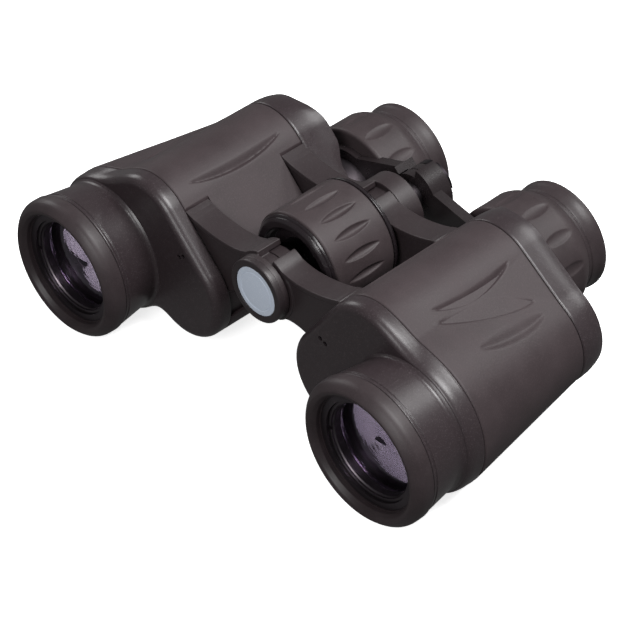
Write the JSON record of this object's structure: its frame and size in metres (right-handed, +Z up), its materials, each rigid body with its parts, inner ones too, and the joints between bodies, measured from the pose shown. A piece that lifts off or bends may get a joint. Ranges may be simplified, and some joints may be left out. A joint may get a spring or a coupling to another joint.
{
  "type": "binoculars",
  "caption": "Porro-prism binoculars: two prism barrels on a folding centre hinge, a focus wheel that slides the eyepieces, and a dioptre ring on the right eyepiece.",
  "frame": {"origin": "middle of the footprint, on the plane that the objective rims and eyepiece rings rest on", "axes": "+X from the left barrel to the right barrel as the user holds it, +Y from the objectives to the eyepieces, +Z up"},
  "size_m": [0.1734, 0.1164, 0.0533],
  "materials": {
    "armour_rubber": "matte, fine grained",
    "housing_paint": "satin black",
    "cover_paint": "satin black, fine speckle",
    "ring_rubber": "smooth satin",
    "grip_rubber": "moulded, satin",
    "wheel_plastic": "gloss edge",
    "lens_coated": "violet coated",
    "lens_clear": "coated",
    "prism_glass": "polished",
    "anodised": "black anodised",
    "bridge_paint": "gloss black paint",
    "shelf_metal": "matt",
    "steel": "turned",
    "dark_steel": "blackened",
    "brass": "turned",
    "cap_plastic": "satin"
  },
  "bodies": {
    "left_half": {"left_housing": "housing_paint", "left_armour": "armour_rubber", "left_front_cover": "cover_paint", "left_rear_cover": "cover_paint", "left_objective_ring": "ring_rubber", "left_objective_cell": "anodised", "left_objective_lens": "lens_coated", "left_retaining_ring": "anodised", "left_prism_shelf": "shelf_metal", "left_front_prism": "prism_glass", "left_rear_prism": "prism_glass", "left_prism_clips": "steel", "left_adjusting_screws": "dark_steel", "left_cover_screws": "dark_steel", "hinge_cap": "cap_plastic", "hinge_pin": "steel", "hinge_lock_nut": "dark_steel", "hinge_bush": "steel", "hinge_washer": "brass"},
    "right_half": {"right_housing": "housing_paint", "right_armour": "armour_rubber", "right_front_cover": "cover_paint", "right_rear_cover": "cover_paint", "right_objective_ring": "ring_rubber", "right_objective_cell": "anodised", "right_objective_lens": "lens_coated", "right_retaining_ring": "anodised", "right_prism_shelf": "shelf_metal", "right_front_prism": "prism_glass", "right_rear_prism": "prism_glass", "right_prism_clips": "steel", "right_adjusting_screws": "dark_steel", "right_cover_screws": "dark_steel"},
    "focus_wheel": {"focus_wheel_core": "wheel_plastic", "focus_wheel_grip": "grip_rubber", "focus_nut": "dark_steel"},
    "left_bridge": {"focus_spindle": "anodised", "spindle_nut": "dark_steel", "left_bridge_arm": "bridge_paint", "left_eye_tube": "anodised", "left_lens_barrel": "anodised", "left_field_lens": "lens_clear", "left_eye_lens": "lens_clear", "left_eyepiece_ring": "grip_rubber", "left_eyecup": "ring_rubber"},
    "right_bridge": {"right_bridge_arm": "bridge_paint", "right_eye_tube": "anodised"},
    "dioptre_cell": {"right_lens_barrel": "anodised", "right_field_lens": "lens_clear", "right_eye_lens": "lens_clear"},
    "dioptre_ring": {"right_dioptre_ring": "grip_rubber", "right_eyecup": "ring_rubber"}
  },
  "joints": [
    {"name": "hinge_fold", "type": "hinge", "parent": "left_half", "child": "right_half", "pos_m": [0, 0, 0.0351], "axis": [0, 1, 0], "range_deg": [-28, 27]},
    {"name": "focus_turn", "type": "hinge", "parent": "left_half", "child": "focus_wheel", "pos_m": [0, 0, 0.0351], "axis": [0, 1, 0], "range_deg": [-180, 210]},
    {"name": "left_bridge_slide", "type": "slide", "parent": "left_half", "child": "left_bridge", "axis": [0, 1, 0], "range_m": [-0.003, 0.0035]},
    {"name": "right_bridge_slide", "type": "slide", "parent": "right_half", "child": "right_bridge", "axis": [0, 1, 0], "range_m": [-0.003, 0.0035]},
    {"name": "dioptre_slide", "type": "slide", "parent": "right_bridge", "child": "dioptre_cell", "axis": [0, 1, 0], "range_m": [-0.0015, 0.0015]},
    {"name": "dioptre_turn", "type": "hinge", "parent": "dioptre_cell", "child": "dioptre_ring", "pos_m": [0.0325, 0, 0.0201], "axis": [0, 1, 0], "range_deg": [-60, 60]}
  ],
  "couplings": [
    {"joint": "left_bridge_slide", "follows": "focus_turn", "m_per_rad": 0.00095493},
    {"joint": "right_bridge_slide", "follows": "focus_turn", "m_per_rad": 0.00095493},
    {"joint": "dioptre_slide", "follows": "dioptre_turn", "m_per_rad": 0.0014323}
  ]
}
